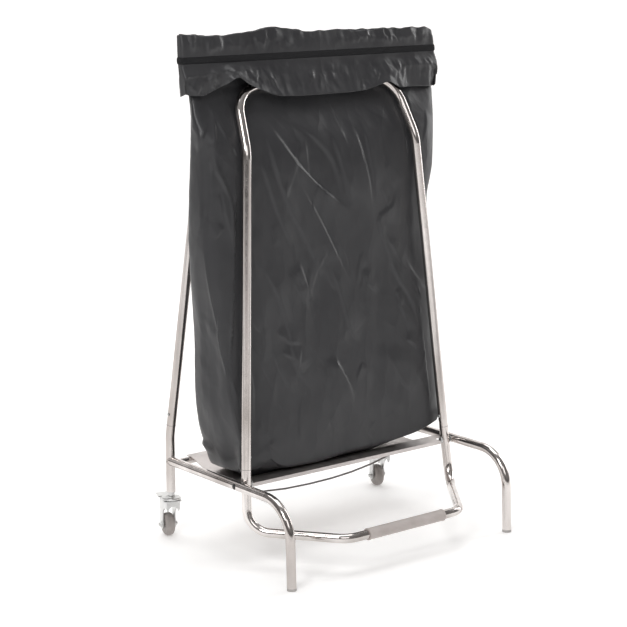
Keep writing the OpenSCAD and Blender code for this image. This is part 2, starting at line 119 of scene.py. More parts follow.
def bump(tree, shader, height, strength, distance, under=None):
    """Roughens the shader's surface by a height, over an earlier bump's normal if given."""
    node = tree.nodes.new("ShaderNodeBump")
    node.inputs["Strength"].default_value = strength
    node.inputs["Distance"].default_value = distance
    tree.links.new(height, node.inputs["Height"])
    if under is not None:
        tree.links.new(under, node.inputs["Normal"])
    tree.links.new(node.outputs["Normal"], shader.inputs["Normal"])
    return node.outputs["Normal"]


def metal(name, dark, light, rough_low, rough_high, grain_scale, grain):
    """A bare metal with soft painted reflection streaks in its colour and a fine surface grain."""
    material, tree, shader = new_material(name)
    shader.inputs["Metallic"].default_value = 1.0
    # Painted reflection: dark and light streaks in the colour, drawn out upwards, stand in for
    # surroundings mirrored in the tubes
    painted_reflection_streaks = noise(tree, 16, 4, (1, 1, 0.3))
    tree.links.new(ramp(tree, painted_reflection_streaks, dark, light), shader.inputs["Base Color"])
    smears = noise(tree, 70, 5)
    tree.links.new(spread(tree, smears, rough_low, rough_high), shader.inputs["Roughness"])
    bump(tree, shader, noise(tree, grain_scale, 3), grain, 0.0002)
    return material


def moulded(name, dark, light, rough, grain_scale, grain, depth):
    """A moulded plastic or rubber with faint colour variation and a fine texture."""
    material, tree, shader = new_material(name)
    tree.links.new(ramp(tree, noise(tree, 35, 4), dark, light), shader.inputs["Base Color"])
    tree.links.new(spread(tree, noise(tree, 120, 3), rough - 0.06, rough + 0.06),
                   shader.inputs["Roughness"])
    bump(tree, shader, noise(tree, grain_scale, 2), grain, depth)
    return material


def facets(tree, scale, stretch, tilt):
    """A height of slanted cells parted by ridges, as in crumpled film, drawn out downwards."""
    coord = tree.nodes.new("ShaderNodeTexCoord")
    mapping = tree.nodes.new("ShaderNodeMapping")
    mapping.inputs["Rotation"].default_value = (0, tilt, 0)
    mapping.inputs["Scale"].default_value = stretch
    warp = tree.nodes.new("ShaderNodeTexNoise")
    warp.inputs["Scale"].default_value = scale * 0.6
    warp.inputs["Detail"].default_value = 2
    shift = tree.nodes.new("ShaderNodeVectorMath")
    shift.operation = "MULTIPLY_ADD"
    shift.inputs[1].default_value = (0.9 / scale, 0.9 / scale, 0.9 / scale)
    cells = tree.nodes.new("ShaderNodeTexVoronoi")
    cells.inputs["Scale"].default_value = scale
    tree.links.new(coord.outputs["Object"], mapping.inputs["Vector"])
    tree.links.new(coord.outputs["Object"], warp.inputs["Vector"])
    tree.links.new(warp.outputs["Color"], shift.inputs[0])
    tree.links.new(mapping.outputs["Vector"], shift.inputs[2])
    tree.links.new(shift.outputs["Vector"], cells.inputs["Vector"])
    return cells.outputs["Distance"]


def film_material():
    """Satin black polyethylene film with faint crinkles."""
    material, tree, shader = new_material("bag_film")
    tint = ramp(tree, noise(tree, 9, 5), (0.0285, 0.0285, 0.031), (0.038, 0.038, 0.0405))
    tree.links.new(tint, shader.inputs["Base Color"])
    tree.links.new(spread(tree, noise(tree, 25, 4), 0.30, 0.42), shader.inputs["Roughness"])
    shader.inputs["Specular IOR Level"].default_value = 0.38
    broad = bump(tree, shader, facets(tree, 9, (1.5, 1.5, 0.55), 0.42), 0.22, 0.02)
    fine = bump(tree, shader, facets(tree, 27, (1.4, 1.4, 0.6), 0.5), 0.13, 0.007, broad)
    bump(tree, shader, noise(tree, 160, 3, (1, 1, 0.5)), 0.1, 0.0008, fine)
    return material


def strap_material():
    """Black woven elastic: fine ribs along its length crossed by a dense weft."""
    material, tree, shader = new_material("strap")
    coord = tree.nodes.new("ShaderNodeTexCoord")
    ribs = tree.nodes.new("ShaderNodeTexWave")
    ribs.bands_direction = "Z"
    ribs.inputs["Scale"].default_value = 190
    ribs.inputs["Distortion"].default_value = 0.4
    tree.links.new(coord.outputs["Object"], ribs.inputs["Vector"])
    weft = tree.nodes.new("ShaderNodeTexWave")
    weft.bands_direction = "X"
    weft.inputs["Scale"].default_value = 260
    weft.inputs["Distortion"].default_value = 0.6
    tree.links.new(coord.outputs["Object"], weft.inputs["Vector"])
    weave = tree.nodes.new("ShaderNodeMath")
    weave.operation = "MULTIPLY"
    tree.links.new(ribs.outputs["Fac"], weave.inputs[0])
    tree.links.new(weft.outputs["Fac"], weave.inputs[1])
    tint = ramp(tree, weave.outputs["Value"], (0.010, 0.010, 0.011), (0.026, 0.026, 0.028), 0, 1)
    tree.links.new(tint, shader.inputs["Base Color"])
    shader.inputs["Roughness"].default_value = 0.85
    shader.inputs["Specular IOR Level"].default_value = 0.2
    bump(tree, shader, weave.outputs["Value"], 0.5, 0.0004)
    return material


materials = {
    "stainless": metal("stainless", (0.44, 0.40, 0.38), (0.80, 0.76, 0.74),
                       0.09, 0.18, 900, 0.04),
    "zinc": metal("zinc", (0.55, 0.55, 0.55), (0.72, 0.72, 0.71), 0.28, 0.42, 500, 0.12),
    "spring_wire": metal("spring_wire", (0.16, 0.15, 0.15), (0.28, 0.26, 0.25),
                         0.3, 0.42, 700, 0.1),
    "foot_plastic": moulded("foot_plastic", (0.40, 0.38, 0.37), (0.50, 0.48, 0.46),
                            0.5, 900, 0.15, 0.0003),
    "hub_plastic": moulded("hub_plastic", (0.33, 0.31, 0.30), (0.42, 0.40, 0.38),
                           0.5, 800, 0.15, 0.0003),
    "grip": moulded("grip", (0.46, 0.41, 0.39), (0.54, 0.49, 0.47), 0.72, 1100, 0.5, 0.0004),
    "tyre": moulded("tyre", (0.32, 0.29, 0.275), (0.42, 0.385, 0.365), 0.62, 700, 0.25, 0.0003),
    "plug": moulded("plug", (0.010, 0.010, 0.010), (0.016, 0.016, 0.016), 0.5, 600, 0.2, 0.0002),
    "bag_film": film_material(),
    "strap": strap_material(),
}
# The folded sheet parts are duller than the polished tubes
sheet_steel = metal("sheet_steel", (0.50, 0.465, 0.45), (0.64, 0.60, 0.585),
                    0.34, 0.44, 700, 0.06)


def paint(piece, slot):
    """Gives a piece the material of the record's slot that it belongs to."""
    piece.data.materials.clear()
    piece.data.materials.append(materials[slot])
    for face in piece.data.polygons:
        face.material_index = 0


for part in frame["record"]["subparts"]:
    paint(nodes[part["node"]], part["material_slot"])
for name in ("front_cross_bar", "bottom_tray"):
    nodes[name].data.materials[0] = sheet_steel


# ---------------------------------------------------------------- mesh helpers

def piece_from(name, points, faces):
    """A smooth-shaded mesh object from points in metres."""
    mesh = bpy.data.meshes.new(name)
    mesh.from_pydata([tuple(map(float, p)) for p in points], [], faces)
    mesh.update()
    piece = bpy.data.objects.new(name, mesh)
    scene.collection.objects.link(piece)
    for face in mesh.polygons:
        face.use_smooth = True
    return piece


def grid_faces(rows, columns, closed):
    """Quads of a grid of rows of points, joined round each row if closed."""
    last = columns if closed else columns - 1
    return [(r * columns + c, r * columns + (c + 1) % columns,
             (r + 1) * columns + (c + 1) % columns, (r + 1) * columns + c)
            for r in range(rows - 1) for c in range(last)]


def apply_modifiers(piece):
    """Makes the piece's modifiers part of its mesh."""
    graph = bpy.context.evaluated_depsgraph_get()
    mesh = bpy.data.meshes.new_from_object(piece.evaluated_get(graph))
    piece.modifiers.clear()
    piece.data = mesh


def smooth_curve(at, x, y):
    """A smooth curve through points (x, y) that doesn't overshoot, read at `at`."""
    x, y = np.asarray(x, float), np.asarray(y, float)
    slopes = np.diff(y) / np.diff(x)
    inner = np.where(slopes[1:] * slopes[:-1] > 0,
                     2 * slopes[1:] * slopes[:-1] / (slopes[1:] + slopes[:-1] + 1e-12), 0)
    tangents = np.concatenate([[slopes[0]], inner, [slopes[-1]]])
    at = np.clip(at, x[0], x[-1])
    i = np.clip(np.searchsorted(x, at) - 1, 0, len(x) - 2)
    h = x[i + 1] - x[i]
    t = (at - x[i]) / h
    return ((1 + 2 * t) * (1 - t) ** 2 * y[i] + t * (1 - t) ** 2 * h * tangents[i]
            + t * t * (3 - 2 * t) * y[i + 1] + t * t * (t - 1) * h * tangents[i + 1])


def step(value, low, high):
    """0 below low, 1 above high, smooth between."""
    t = np.clip((value - low) / (high - low), 0, 1)
    return t * t * (3 - 2 * t)


def waves(seed, count, wave_low, wave_high, stretch):
    """A smooth random height over (x, z) in mm: a sum of seeded sine waves, about 1 high."""
    random = np.random.default_rng(seed)
    angle = random.uniform(0, 2 * math.pi, count)
    number = 2 * math.pi / random.uniform(wave_low, wave_high, count)
    phase = random.uniform(0, 2 * math.pi, count)

    def height(x, z):
        total = 0
        for a, k, p in zip(angle, number, phase):
            total = total + np.sin(k * (np.cos(a) * x + np.sin(a) * z / stretch) + p)
        return total / math.sqrt(count)

    return height


# ---------------------------------------------------------------- the bag

# The bag is one film. Inside, it rises from the bottom to the crest between the two rims,
# then it folds out over the rims and hangs as a collar. Profiles are in mm, by height.
# The front follows the front arch and the rest stays with the base, parted by a plane that
# leans from between the rims down to the front edge of the bottom.
PART_Y, PART_Z, PART_LEAN = 70.0, 947.0, 0.1275
PART_HALF = 0.8
FILM_THICKNESS = 0.35
RING_SAMPLES = 1200
FRONT_COLUMNS, REAR_COLUMNS = 240, 100
PART_OFFSETS = (-PART_HALF, -PART_HALF / 2, 0.0, PART_HALF / 2, PART_HALF)


def part_y(z):
    """Where the plane between the front and the rest crosses height z."""
    return PART_Y - (PART_Z - z) * PART_LEAN


def upright_x(z):
    """Half distance between the front arch's uprights at height z."""
    return 250.5 - (z - 158) * 0.072 - max(0, z - 772) * 0.06


def body_section(z):
    """Half widths left and right, front and rear of the bag's body, and its squareness."""
    left = smooth_curve(z, (160, 172, 200, 245, 305, 420, 560, 775, 835, 860, 900, 975),
                        (227, 233, 240, 254, 266, 272, 283, 287.5, 287, 285, 287, 296))
    right = smooth_curve(z, (160, 172, 200, 230, 275, 360, 485, 640, 710, 775, 835, 860, 975),
                         (270, 271, 272, 267, 270, 268, 263.5, 263.5, 278, 281, 296, 302, 300))
    front = smooth_curve(z, (160, 200, 400, 600, 775, 868, 884, 894, 930, 947, 975),
                         (-33, -33, -19, -4, 10.5, 54.5, 60.4, 61.5, 66.3, 68.35, 62))
    rear = smooth_curve(z, (160, 250, 400, 600, 775, 860, 930, 947, 975),
                        (108, 117, 111, 97, 84, 73.5, 71.8, 71.7, 77))
    square = smooth_curve(z, (160, 200, 245, 300, 600, 860, 975), (10, 9, 7, 5.5, 4.8, 5, 9))
    return left, right, front, rear, square


def closed_ring(left, right, front, rear, square, split):
    """One ring of the film in the plane of its height: a rounded box, with its columns
    spread evenly along the front and along the rear, and set close beside the split."""
    mid, depth = (front + rear) / 2, (rear - front) / 2

    def reach(y):
        share = np.clip(np.abs((y - mid) / depth), 0, 0.9999)
        return (1 - share ** square) ** (1 / square)

    angle = np.linspace(0, math.pi, RING_SAMPLES)
    x = np.sign(np.cos(angle)) * np.abs(np.cos(angle)) ** (2 / square)
    x = np.where(x < 0, x * left, x * right)
    bow = np.abs(np.sin(angle)) ** (2 / square) * depth

    def even(side, limit, columns):
        y = mid + side * bow
        keep = (y - limit) * side > 0
        ends = [reach(limit) * right, -reach(limit) * left]
        px = np.concatenate([[ends[0]], x[keep], [ends[1]]])
        py = np.concatenate([[limit], y[keep], [limit]])
        run = np.concatenate([[0], np.cumsum(np.hypot(np.diff(px), np.diff(py)))])
        at = np.linspace(0, run[-1], columns + 2)[1:-1]
        return np.interp(at, run, px), np.interp(at, run, py)

    front_x, front_y = even(-1, split + PART_OFFSETS[0], FRONT_COLUMNS)
    rear_x, rear_y = even(1, split + PART_OFFSETS[-1], REAR_COLUMNS)
    seam_y = split + np.array(PART_OFFSETS)
    ring_x = np.concatenate([front_x[::-1], reach(seam_y) * right, rear_x,
                             -reach(seam_y)[::-1] * left])
    ring_y = np.concatenate([front_y[::-1], seam_y, rear_y, seam_y[::-1]])
    return ring_x, ring_y


# How far each side of a crease runs out, as a share of its width
STEEP_SIDE, GENTLE_SIDE = 0.33, 3.0
CREASE_GAIN = 0.95

# Creases of the film's front, each a run of (x, z) in mm with its width and its height
CREASES = [
    ([(-150, 830), (-95, 750), (-30, 685), (50, 630)], 16, 4.5),
    ([(-155, 830), (-125, 705), (-105, 655), (-65, 590), (-30, 515)], 18, 4.5),
    ([(-172, 770), (-135, 655), (-85, 555)], 15, 3.5),
    ([(-90, 710), (-30, 615), (5, 550), (35, 490)], 14, 3.5),
    ([(0, 805), (25, 725), (50, 635)], 20, 4.5),
    ([(-105, 830), (-40, 790), (5, 735), (30, 650)], 22, 4.0),
    ([(60, 800), (80, 720), (95, 630)], 14, 3.5),
    ([(85, 815), (95, 740), (110, 650)], 12, 3.0),
    ([(165, 680), (150, 640), (112, 615), (135, 550), (160, 495)], 14, 3.5),
    ([(-255, 840), (-238, 790), (-220, 745)], 18, 4.0),
    ([(-262, 800), (-275, 755), (-240, 675), (-240, 570)], 16, 3.5),
    ([(-15, 550), (10, 480), (35, 400), (60, 380)], 16, 4.0),
    ([(-90, 555), (-75, 515), (-60, 480)], 12, 2.5),
    ([(-185, 565), (-140, 495), (-118, 420), (-105, 355), (-55, 295)], 20, 4.0),
    ([(135, 540), (165, 490), (190, 455), (215, 390)], 18, 3.5),
    ([(-20, 370), (5, 320), (30, 265)], 16, 3.0),
    ([(-150, 430), (-120, 405), (-85, 398)], 10, 2.5),
    ([(-140, 388), (-112, 372), (-90, 340)], 9, 2.5),
    ([(-240, 420), (-215, 330), (-225, 240)], 18, 3.0),
    ([(120, 360), (150, 300), (190, 255)], 16, 2.5),
]

# Creases of the left side, with x run on past the corner as if the film were unrolled
SIDE_CREASES = [
    ([(-268, 880), (-259, 862), (-243, 817), (-219, 769)], 20, 4.5),
    ([(-248, 856), (-262, 810), (-279, 762)], 14, 3.5),
    ([(-288, 866), (-303, 840), (-318, 805)], 12, 3.0),
    ([(-283, 775), (-287, 720), (-298, 613)], 16, 3.5),
    ([(-277, 765), (-258, 712), (-244, 669), (-247, 577)], 18, 4.5),
    ([(-322, 770), (-300, 796), (-270, 828)], 12, 3.0),
    ([(-290, 615), (-276, 622), (-262, 640)], 8, 2.0),
    ([(-316, 560), (-336, 450), (-348, 330), (-352, 225)], 16, 3.5),
    ([(-272, 525), (-284, 440), (-294, 365), (-301, 215)], 16, 3.0),
    ([(-252, 505), (-258, 400), (-262, 305)], 14, 2.5),
]


def small_creases(seed, count):
    """Short seeded creases, most of them leaning down to the right as the film hangs."""
    random = np.random.default_rng(seed)
    found = []
    for _ in range(count):
        x, z = random.uniform(-340, 250), random.uniform(200, 850)
        lean = math.radians(random.choice([-62, -50, -75, -105]) + random.uniform(-14, 14))
        length = random.uniform(35, 120)
        bend = random.uniform(-8, 8)
        dx, dz = math.cos(lean) * length / 2, math.sin(lean) * length / 2
        run = [(x - dx, z - dz), (x + bend, z + bend / 2), (x + dx, z + dz)]
        found.append((run, random.uniform(5, 10), random.uniform(0.7, 1.7)))
    return found


def collar_creases(seed, count):
    """Short seeded creases that run up and down the collar, denser towards its ends."""
    random = np.random.default_rng(seed)
    found = []
    for _ in range(count):
        x = 300 * math.copysign(abs(random.uniform(-1, 1)) ** 0.7, random.uniform(-1, 1))
        z = random.choice([random.uniform(875, 925), random.uniform(946, 978)])
        lean = math.radians(random.choice([-90, -70, -112, -50]) + random.uniform(-16, 16))
        length = random.uniform(14, 46)
        dx, dz = math.cos(lean) * length / 2, math.sin(lean) * length / 2
        run = [(x - dx, z - dz), (x + random.uniform(-3, 3), z), (x + dx, z + dz)]
        found.append((run, random.uniform(3.5, 8), random.uniform(0.8, 1.8)))
    return found


SMALL_CREASES = small_creases(5, 90)
COLLAR_CREASES = collar_creases(17, 150)


def crease_height(x, z, creases):
    """Height of the creases at points (x, z): a thin soft ridge with one steeper side."""
    total = np.zeros_like(x)
    for index, (run, width, rise) in enumerate(creases):
        run = np.array(run, float)
        ends = np.concatenate([[0], np.cumsum(np.hypot(*np.diff(run, axis=0).T))])
        at = np.linspace(0, ends[-1], max(4, int(ends[-1] / 14)))
        line = np.stack([smooth_curve(at, ends, run[:, 0]), smooth_curve(at, ends, run[:, 1])], 1)
        best = np.full(x.shape, 1e9)
        side = np.zeros_like(x)
        along = np.zeros_like(x)
        for i in range(len(line) - 1):
            a, d = line[i], line[i + 1] - line[i]
            length = np.hypot(*d)
            t = np.clip(((x - a[0]) * d[0] + (z - a[1]) * d[1]) / length ** 2, 0, 1)
            gap_x, gap_z = x - a[0] - t * d[0], z - a[1] - t * d[1]
            gap = np.hypot(gap_x, gap_z)
            near = gap < best
            best = np.where(near, gap, best)
            side = np.where(near, np.sign(d[0] * gap_z - d[1] * gap_x), side)
            along = np.where(near, at[i] + t * length, along)
        fade = step(along, 0, 0.3 * ends[-1]) * step(ends[-1] - along, 0, 0.35 * ends[-1])
        facing = side if index % 3 else -side
        reach = width * np.where(facing < 0, STEEP_SIDE, GENTLE_SIDE)
        soft = np.sqrt(best ** 2 + 1) - 1
        total += CREASE_GAIN * rise * fade * np.clip(1 - soft / reach, 0, 1)
    return total


# Seed, number of waves, shortest and longest wave in mm, and how much longer they are upwards
big_waves = waves(7, 9, 170, 330, 1.6)
mid_waves = waves(11, 14, 55, 110, 2.2)
small_waves = waves(23, 18, 18, 40, 1.5)
pleat_waves = waves(31, 10, 14, 34, 40.0)

# The collar's front by x: how high its crest is and how low its lower edge hangs
CREST = ((-306, -217, -150, -104, -40, -6, 45, 119, 169, 280, 304),
         (984, 979, 985, 990, 984, 979, 981, 977, 979, 978, 971))
HEM = ((-307, -289, -269, -244, -220, -201, -182, -156, -99, -46, 45, 100, 140, 160, 190, 230,
        307),
       (877, 873, 872, 880, 891, 903, 893, 880, 864, 862, 862, 864, 872, 877, 866, 863,
        861))
COLLAR_HIGH, COLLAR_LOW = 978, 862
STRAP_LOW, STRAP_HIGH = 930.0, 942.5
# The level of the strap's upper edge, with 0 at the crest and 1 at the collar's lower edge
STRAP_LEVEL = 0.3
# Half the width of the collar, and how much less it is at the rear
COLLAR_HALF, REAR_INSET = 307, 21
# Height of the bottom's edge, how far it sags into the tray, and the lowest that it may lie
BOTTOM_Z, BOTTOM_SAG, LOWEST_Z = 160.0, 13.2, 146.6
BODY_LOW, BODY_HIGH = 162.0, 974.0
BOTTOM_ROWS, BODY_ROWS, COLLAR_ROWS = 26, 290, 46
# How far to each side of an upright's middle the film lies flat behind it
UPRIGHT_COVER = 15
# How far folds may take the film inwards and outwards
FRONT_SWELL, REST_SWELL, COLLAR_SWELL = (-9, 9), (-7, 4), (-3.0, 3.5)


def collar_ring(level):
    """The outer film at level 0 at the crest to 1 at its lower edge: x, y and z in mm."""
    height = np.interp(level, (0, STRAP_LEVEL, 1), (COLLAR_HIGH, STRAP_HIGH, COLLAR_LOW))
    left = smooth_curve(height, (862, 900, 930, 978), (306, 307, 307, 305))
    right = smooth_curve(height, (862, 880, 912, 930, 943, 978), (301, 305, 311, 308, 307, 305))
    front = smooth_curve(height, (862, 880, 893, 906, 930, 943, 958, 978),
                         (26, 35, 39.5, 45.5, 53.8, 53.8, 55, 61))
    rear = smooth_curve(height, (862, 888, 915, 930, 943, 958, 978),
                        (97, 95, 84.5, 83, 83, 82, 77.5))
    x, y = closed_ring(left, right, front, rear, 14, part_y(height))
    is_front = y < part_y(height)
    # Away from the arch the collar's front hangs back, and its rear is narrower
    beyond = step(np.abs(x), 196, 236) * (1 - step(height, 900, 935))
    y = np.where(is_front & (y < 45), y + (46 - front) * beyond * (front < 46), y)
    behind = step(y, part_y(height), rear)
    x = x * (1 - behind * REAR_INSET / COLLAR_HALF)
    turn = step(y, part_y(height) - 9, part_y(height) + 9)
    crest = smooth_curve(x, *CREST) * (1 - turn) + (976 + 3 * np.sin(x / 61)) * turn
    crest = crest + 0.8 * small_waves(x + 700 * turn, 0 * x)
    behind_low = 866 - x / 60 + 3 * np.sin(x / 47)
    low = smooth_curve(x, *HEM) * (1 - turn) + behind_low * turn
    if level < STRAP_LEVEL:
        z = crest + (STRAP_HIGH - crest) * level / STRAP_LEVEL
    else:
        share = (level - STRAP_LEVEL) / (1 - STRAP_LEVEL)
        band = (STRAP_HIGH - STRAP_LOW) / (STRAP_HIGH - COLLAR_LOW)
        z = np.where(share < band, STRAP_HIGH - share * (STRAP_HIGH - COLLAR_LOW),
                     STRAP_LOW + (low - STRAP_LOW) * (share - band) / (1 - band))
    return x, y, z


def ring_outward(x, y):
    """Unit vectors that point out of a ring in its own plane."""
    tx = np.roll(x, -1) - np.roll(x, 1)
    ty = np.roll(y, -1) - np.roll(y, 1)
    length = np.hypot(tx, ty) + 1e-9
    return ty / length, -tx / length


def collar_with_pleats(level, lift=0.0):
    """The collar's ring at a level with its gathers, lifted off the film by lift mm."""
    x, y, z = collar_ring(level)
    out_x, out_y = ring_outward(x, y)
    gap = np.where(z > STRAP_HIGH, z - STRAP_HIGH, np.where(z < STRAP_LOW, STRAP_LOW - z, 0))
    free = step(gap, 0, 22)
    # The gathers grow towards the ends of the collar and stop short of its corners
    ends = 0.6 + 0.9 * step(np.abs(x), 150, 300)
    ends = ends * (1 - step(np.abs(x), 292, 303))
    around = np.where(y < part_y(z), x, x + 900)
    gathers = crease_height(around, z, COLLAR_CREASES)
    pleats = pleat_waves(around, z) * 0.5 * ends + gathers * 1.6 * (1 - step(np.abs(x), 290, 303))
    hang = (big_waves(around, z) * 1.6 + mid_waves(around, z) * 1.2) * (1 - step(np.abs(x), 285, 303))
    # The strap holds the film flat, and the film hangs more loosely below it than above
    rise = free * np.where(z < STRAP_LOW, pleats * 0.8 + hang, pleats * 0.9 + hang * 0.4)
    guard = 1 - step(PART_HALF * 3 - np.abs(y - part_y(z)), 0, PART_HALF * 2)
    move = np.clip(rise, *COLLAR_SWELL) + lift
    return x + out_x * move, y + out_y * move * np.where(lift > 0, 1, guard), z


# How far the film's lower edge stands off the tray, along the front and along the rest
FRONT_LIFT = ((-300, -236, -218, -203, -190, -170, -155, -135, -70, -30, 7, 68, 125, 165, 223, 252),
              (1, 0, 4, 17, 26, 26, 14, 5, 2, 5, 9, 11, 12, 15, 25, 33))
REST_LIFT = ((-300, 70, 125, 165, 223, 252), (0, 0, 8, 14, 25, 33))


def edge_lift(x, y, front):
    """Height of the film's lower edge above the tray at (x, y), in mm."""
    rest = smooth_curve(x, *REST_LIFT)
    return rest + (smooth_curve(x, *FRONT_LIFT) - rest) * (1 - step(y, front + 4, front + 30))


def ears(x, y, z):
    """How far the film's lower corners stick out at (x, y, z): rear left, right, front left."""
    left = step(-x, 150, 215) * step(y, 62, 96) * np.interp(z, (184, 202, 211), (0, 1, 0))
    right = step(x, 180, 240) * np.interp(z, (183, 204, 216), (0, 1, 0))
    near = step(-x, 120, 215) * (1 - step(y, -29, 8)) * np.interp(z, (160, 182, 226), (1, 0.8, 0))
    return 6 * left + 3 * right + 27 * near


def bottom_rings():
    """Rings of the bag's bottom, from its middle outwards, sagging into the tray."""
    left, right, front, rear, square = body_section(BOTTOM_Z)
    edge_x, edge_y = closed_ring(left, right, front, rear, square, part_y(BOTTOM_Z))
    mid_y = (front + rear) / 2
    rings = []
    for share in np.linspace(0.02, 0.985, BOTTOM_ROWS):
        x, y = edge_x * share, mid_y + (edge_y - mid_y) * share
        dip = step(226 - np.abs(x), 4, 30) * step(y, -16, 2) * step(118 - y, 2, 22)
        z = BOTTOM_Z + 0.6 - BOTTOM_SAG * dip + 0.5 * mid_waves(x, y * 2)
        z = np.maximum(z, LOWEST_Z) + edge_lift(x, y, front) * share ** 10
        z = z + smooth_curve(x, *REST_LIFT) * (1 - share ** 10)
        rings.append(np.stack([x, y, z], 1))
    return rings


def body_rings():
    """Rings of the bag's walls, from the bottom up to the crest, with folds and creases."""
    heights = np.linspace(BODY_LOW, BODY_HIGH, BODY_ROWS)
    sections = [body_section(z) for z in heights]
    plain = [closed_ring(*section, part_y(z)) for section, z in zip(sections, heights)]
    grid_x = np.array([x for x, _ in plain])
    grid_y = np.array([y for _, y in plain])
    grid_z = np.repeat(heights[:, None], grid_x.shape[1], 1)
    grid_front = np.array([section[2] for section in sections])[:, None]
    # Round the left side the film is unrolled, so that folds run on from the front
    unrolled = grid_x - np.where(grid_x < -150, np.maximum(0, grid_y - grid_front), 0)
    creases = crease_height(unrolled, grid_z, CREASES + SIDE_CREASES + SMALL_CREASES)
    rings = []
    for z, section, (x, y), crease in zip(heights, sections, plain, creases):
        front, rear = section[2], section[3]
        out_x, out_y = ring_outward(x, y)
        is_front = y < part_y(z) - PART_HALF
        # Folds die out towards the collar and the bottom, and go only sideways near the plane
        flat = (1 - step(z, 832, 868)) * step(z, 162, 215)
        guard = step(np.abs(y - part_y(z)), PART_HALF, 14)
        body = big_waves(x + 1.5 * y, z) * 2.2 + mid_waves(x + 1.5 * y, z) * 0.35
        body = body + small_waves(x + 1.5 * y, z) * 0.1
        folds = crease * np.where(x < 0, 1 - step(y, rear - 26, rear - 8), is_front)
        rise = flat * (body + folds)
        # The film lies flat behind the uprights and stays clear of the other tubes
        under_tube = np.abs(np.abs(x) - upright_x(z)) < UPRIGHT_COVER
        rise = np.where(is_front & under_tube, np.minimum(rise, 1.0), rise)
        rise = np.where(is_front, np.clip(rise, *FRONT_SWELL), np.clip(rise, *REST_SWELL))
        sideways = np.sign(out_x) * rise / np.clip(np.abs(out_x), 0.5, 1)
        lift = edge_lift(x, y, front) * (1 - step(z, 160, 225))
        aside = guard * out_x * rise + (1 - guard) * sideways + np.sign(x) * ears(x, y, z + lift)
        rings.append(np.stack([x + aside, y + out_y * rise * guard, z + lift], 1))
    return rings


def bag_points():
    """All rings of the film, from the middle of the bottom to the collar's lower edge."""
    levels = np.linspace(0.0, 1.0, COLLAR_ROWS)
    collar = [np.stack(collar_with_pleats(level), 1) for level in levels]
    return bottom_rings() + body_rings() + collar


def film_bag():
    """The bag: one closed-bottomed film with a real thickness."""
    rings = bag_points()
    columns = len(rings[0])
    points = np.concatenate(rings) * MM
    faces = grid_faces(len(rings), columns, True)
    middle = len(points)
    centre = rings[0].mean(0) * MM
    points = np.concatenate([points, [centre]])
    faces += [(middle, (c + 1) % columns, c) for c in range(columns)]
    bag = piece_from("waste_bag", points, faces)
    solid = bag.modifiers.new("thickness", "SOLIDIFY")
    solid.thickness = FILM_THICKNESS * MM
    solid.offset = 0
    apply_modifiers(bag)
    for face in bag.data.polygons:
        face.use_smooth = True
    return bag


# How far the strap stands off the film: its outside from edge to edge, and its inside
STRAP_OUTSIDE = (0.9, 1.9, 2.1, 2.1, 1.9, 0.9)
STRAP_INSIDE = 0.5


def strap_band():
    """The elastic strap: a rounded flat band on the collar."""
    levels = [STRAP_LEVEL + (1 - STRAP_LEVEL) * (STRAP_HIGH - z) / (STRAP_HIGH - COLLAR_LOW)
              for z in np.linspace(STRAP_HIGH, STRAP_LOW, len(STRAP_OUTSIDE))]
    loops = [collar_with_pleats(level, lift) for level, lift in zip(levels, STRAP_OUTSIDE)]
    loops += [collar_with_pleats(level, STRAP_INSIDE) for level in levels[::-1]]
    rings = [np.stack(loop, 1) for loop in loops]
    points = np.concatenate(rings) * MM
    rows, columns = len(rings), len(rings[0])
    faces = [(r * columns + c, r * columns + (c + 1) % columns,
              ((r + 1) % rows) * columns + (c + 1) % columns, ((r + 1) % rows) * columns + c)
             for r in range(rows) for c in range(columns)]
    return piece_from("elastic_strap", points, faces)


bag = film_bag()
paint(bag, "bag_film")
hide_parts("bag_front_panel", "bag_front_collar", "bag_back_panel", "bag_left_gusset",
            "bag_right_gusset", "bag_bottom", "bag_rear_collar")
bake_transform(bag)

strap = strap_band()
paint(strap, "strap")
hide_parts("strap_front", "strap_rear")
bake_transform(strap)


# ---------------------------------------------------------------- welds and plugs

SIDES = (("left", -1), ("right", 1))
TUBE_R = 9.0
# Weld beads in mm: their radius, their sides, the length of a ripple, and how far back the
# bead on the front cross bar's tab begins
BEAD_R = 1.25
BEAD_SIDES = 8
RIPPLE = 2.3
TAB_WELD = 17
# A plug's outline: how far out and how wide it is at each point
PLUG_PROFILE = ((0.0, 3.6), (0.6, 5.1), (2.0, 5.3), (2.8, 4.6), (3.2, 3.0), (3.4, 0.9))
# Where the lower tubes plug into the arches on the right side: the joint's middle in mm, how
# far the tube leans in x and in y per mm of height, and the body that the joint goes with
PLUG_JOINTS = (("front", (248.56, -50.78, 185.0), (-0.072, 0.0824), "front_frame"),
               ("rear", (269.3, 163.3, 230.0), (-0.0548, -0.1228), "root"))


def box_mm(name):
    """The two corners of a CAD node's box, in mm."""
    return [np.array(corner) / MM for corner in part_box(name)]


